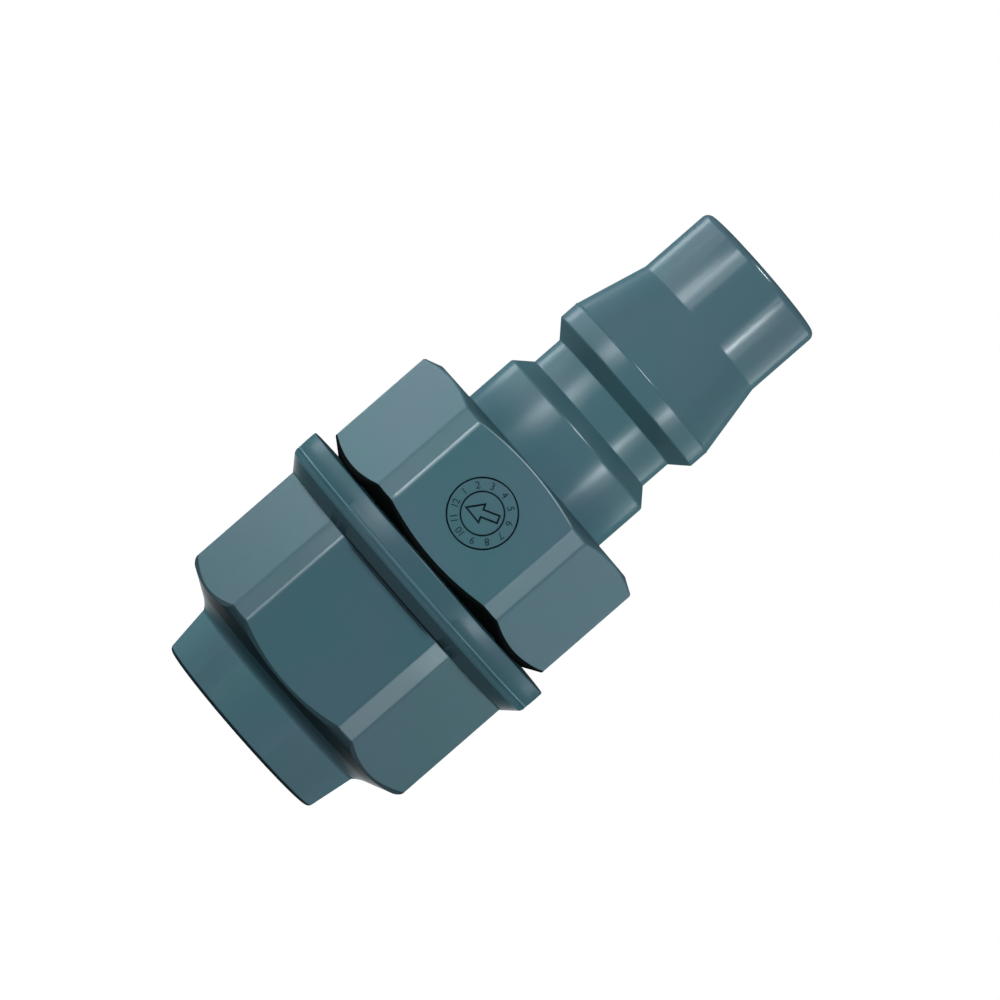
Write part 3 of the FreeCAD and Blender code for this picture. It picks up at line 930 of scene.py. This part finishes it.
def set_dial():
    """Puts the dial and its arrow into the pocket of the plug."""
    disc = dial_disc()
    pointer = arrow("dial_arrow", 0.0, -DIAL_SINK - ARROW_HEIGHT, -DIAL_SINK)
    turn = Matrix.Rotation(math.radians(DIAL_TURN), 4, "Z")
    for name, mark in (("date_dial", disc), ("dial_arrow", pointer)):
        bm = bmesh.new()
        bm.from_mesh(mark.data)
        bpy.data.objects.remove(mark)
        bmesh.ops.transform(bm, matrix=dial_place() @ turn, verts=bm.verts)
        piece(name, bm, "plug", plug_plastic, DIAL_SHARP_ANGLE)


def set_threads():
    """Puts the ridges of the thread on the spigot and in the nut, half a pitch apart."""
    spigot = thread_ridge(SPIGOT_CORE_R - THREAD_SINK, SPIGOT_CORE_R + THREAD_DEPTH, SPIGOT_THREAD_TOP_Z, 0.0)
    piece("spigot_thread", spigot, "plug", plug_plastic)
    bore = thread_ridge(NUT_BORE_R + THREAD_SINK, NUT_BORE_R - THREAD_DEPTH, NUT_THREAD_TOP_Z, -0.5)
    piece("nut_thread", bore, "nut", nut_plastic)


nut = piece("nut_moulding", nut_moulding(), "nut", nut_plastic)
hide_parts("clamp_nut")
plug = piece("plug_moulding", plug_moulding(), "plug", plug_plastic)
cut(plug, dial_pocket())
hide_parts("plug_body")
set_dial()
set_threads()

sleeve_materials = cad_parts["grip_sleeve"].data.materials
sleeve_materials.clear()
sleeve_materials.append(sleeve_plastic)


# Floor, backdrop, lights and camera. Distances are in metres, and only FLOOR_HALF is in millimetres.

FLOOR_HALF = 1500.0
FLOOR_PAPER = (0.25, 0.25, 0.25, 1)
FLOOR_NEAR = (0.96, 0.96, 0.96, 1)
WHITE = (1, 1, 1, 1)
FLOOR_WHITE_SPAN = (0.06, 0.4)
WORLD_FILL = 0.01
LAMP_COLOUR = (0.92, 1.0, 1.04)
LAMP_DISTANCE = 0.55
LAMP_TARGET = Vector((0, 0, 0.0207))

# name, azimuth, elevation, width and height as angles, power
LIGHTS = [
    ("key_left", -48, 1, 16, 22, 1.25),
    ("fill_left", -45, 1, 36, 22, 1.6),
    ("wide_left", -80, 1, 34, 22, 0.88),
    ("back_left", -109, 1, 28, 22, 0.8),
    ("rim_left", -133, 1, 16, 22, 2.0),
    ("key_right", 52, 1, 5, 22, 1.6),
    ("fill_right", 56, 1, 30, 22, 1.1),
    ("wide_right", 98, 1, 54, 22, 0.6),
    ("back_right", 117, 1, 14, 22, 0.22),
    ("rim_right", 133, 1, 15, 22, 0.95),
]
GLINT = ("glint", 1, 60, 16, 6, 5.0)

CAMERA_PLACE = (-0.00004, -0.33, 0.02072)
CAMERA_RIGHT = (0.656, 0, 0.7547)
CAMERA_UP = (-0.7547, 0, 0.656)
CAMERA_BACK = (0, -1, 0)
CAMERA_LENS = 198.4
CAMERA_SENSOR = 36.0
CAMERA_NEAR_END = 0.01


def white_to_eye(finish):
    """1 for rays that see the backdrop: straight from the camera, in gloss, or through something clear."""
    path = finish.nodes.new("ShaderNodeLightPath")
    rays = ("Is Camera Ray", "Is Glossy Ray", "Is Transmission Ray")
    return finish.greatest(*(Wire(finish, path.outputs[ray]) for ray in rays))


def floor():
    """Paper that is white to the eye, but only grey to the light that it sends back to the part."""
    bm = bmesh.new()
    bmesh.ops.create_grid(bm, x_segments=1, y_segments=1, size=FLOOR_HALF)
    obj = linked_object("floor", bm, MM)
    material = bpy.data.materials.new("floor_paper")
    finish = Finish(material)
    seen = white_to_eye(finish)
    paper = finish.node("BsdfDiffuse", {}, {"Color": FLOOR_PAPER})
    place = finish.node("TexCoord", {}, {}, out="Object")
    away = finish.measure("LENGTH", place)
    white = finish.blend(finish.span(away, *FLOOR_WHITE_SPAN), FLOOR_NEAR, WHITE)
    glow = finish.node("Emission", {}, {"Color": white, "Strength": 1.0})
    lit = finish.node("AddShader", {}, {0: glow, 1: paper})
    finish.show("OutputMaterial", finish.node("MixShader", {}, {0: seen, 1: paper, 2: lit}))
    obj.data.materials.append(material)


def backdrop():
    """World that is white to the eye and adds next to no light."""
    world = bpy.data.worlds.new("backdrop")
    bpy.context.scene.world = world
    finish = Finish(world)
    strength = WORLD_FILL + white_to_eye(finish) * (1.0 - WORLD_FILL)
    finish.show("OutputWorld", finish.node("Background", {}, {"Color": WHITE, "Strength": strength}))


def softbox(name, azimuth, elevation, width, height, power):
    """Soft light at an azimuth from the camera's side, positive to the right, aimed at the part."""
    lamp = bpy.data.lights.new(name, "AREA")
    lamp.shape = "RECTANGLE"
    lamp.size = 2 * LAMP_DISTANCE * math.tan(math.radians(width / 2))
    lamp.size_y = 2 * LAMP_DISTANCE * math.tan(math.radians(height / 2))
    lamp.energy = power
    lamp.color = LAMP_COLOUR
    obj = bpy.data.objects.new(name, lamp)
    bpy.context.scene.collection.objects.link(obj)
    side = math.radians(azimuth)
    rise = math.radians(elevation)
    way = Vector((math.sin(side) * math.cos(rise), -math.cos(side) * math.cos(rise), math.sin(rise)))
    across = Vector((math.cos(side), math.sin(side), 0))
    turn = Matrix((across, way.cross(across), way)).transposed().to_4x4()
    obj.matrix_world = Matrix.Translation(LAMP_TARGET + way * LAMP_DISTANCE) @ turn
    return obj


def photo_camera():
    """Camera at the photograph's viewing angle, rolled as the photograph is."""
    camera = bpy.data.cameras.new("photo_camera")
    camera.sensor_width = CAMERA_SENSOR
    camera.lens = CAMERA_LENS
    camera.clip_start = CAMERA_NEAR_END
    obj = bpy.data.objects.new("photo_camera", camera)
    bpy.context.scene.collection.objects.link(obj)
    turn = Matrix((CAMERA_RIGHT, CAMERA_UP, CAMERA_BACK)).transposed().to_4x4()
    obj.matrix_world = Matrix.Translation(CAMERA_PLACE) @ turn
    bpy.context.scene.camera = obj


floor()
backdrop()
for light in LIGHTS:
    softbox(*light)
softbox(*GLINT).visible_diffuse = False
photo_camera()
bpy.context.scene.view_settings.view_transform = "Standard"
